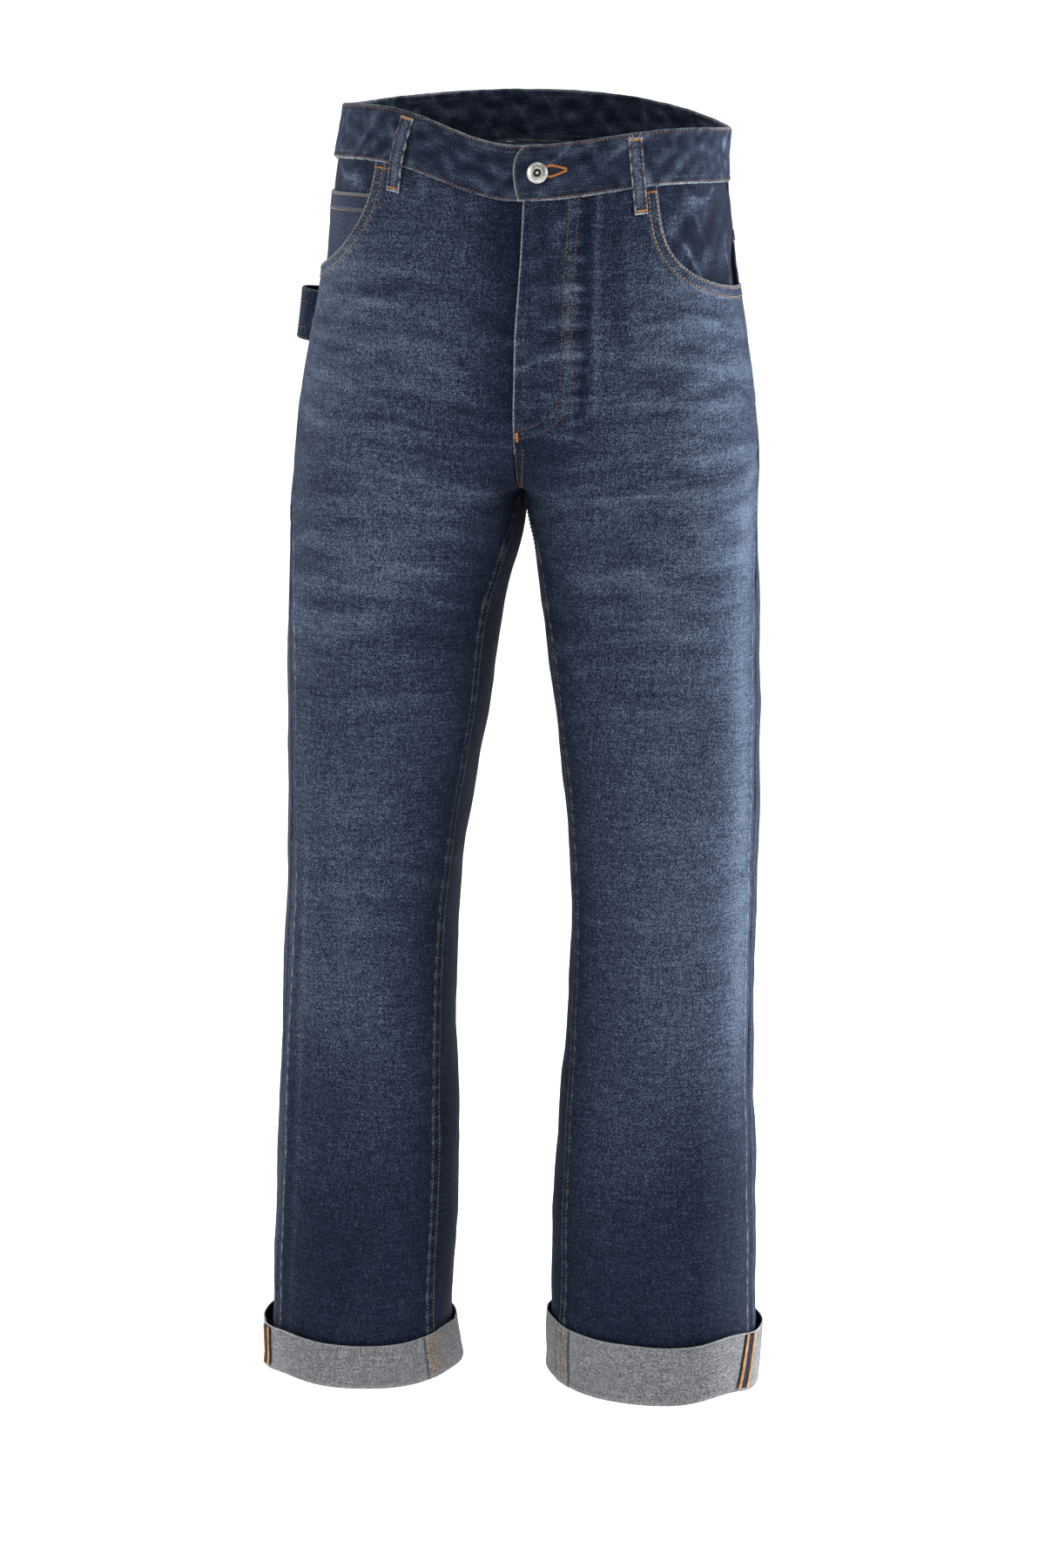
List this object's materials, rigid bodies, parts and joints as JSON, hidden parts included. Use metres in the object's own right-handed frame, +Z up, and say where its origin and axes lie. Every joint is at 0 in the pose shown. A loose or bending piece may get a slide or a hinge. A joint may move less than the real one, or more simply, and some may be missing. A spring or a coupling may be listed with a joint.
{
  "type": "straight leg jeans",
  "caption": "Straight leg denim jeans as worn, hollow, with curved front pockets, lapped fly, belt loops, a side strap and turned-up hems",
  "frame": {"origin": "the middle of the waist, at half the height of the waistband at the sides", "axes": "+Z up, +X the wearer's left, -Y the front"},
  "size_m": [0.415, 0.2534, 1.0462],
  "materials": {
    "denim_front": "mid indigo slub twill, faded on the thighs",
    "denim_back": "mid indigo slub twill",
    "denim_band": "mid indigo slub twill with worn edges",
    "denim_dark": "dark indigo slub twill, little faded",
    "denim_inside": "dark indigo slub twill",
    "denim_reverse": "grey-white reverse of the twill",
    "seam_edge": "ochre thread over the raw edges",
    "button_metal": "worn silver metal with a dark sunk ring"
  },
  "bodies": {
    "root": {"waistband": "denim_band", "fly_shield": "denim_inside", "coin_pocket": "denim_band", "hammer_loop": "denim_dark", "front_right": "denim_front", "back_right": "denim_back", "yoke_right": "denim_back", "facing_right": "denim_dark", "back_pocket_right": "denim_back", "cuff_right": "denim_reverse", "cuff_seam_right": "seam_edge", "front_left": "denim_front", "back_left": "denim_back", "yoke_left": "denim_back", "facing_left": "denim_dark", "back_pocket_left": "denim_back", "cuff_left": "denim_reverse", "cuff_seam_left": "seam_edge", "belt_loop_front_right": "denim_band", "belt_loop_side_right": "denim_band", "belt_loop_back": "denim_band", "belt_loop_side_left": "denim_band", "belt_loop_front_left": "denim_band", "button": "button_metal"}
  },
  "joints": []
}
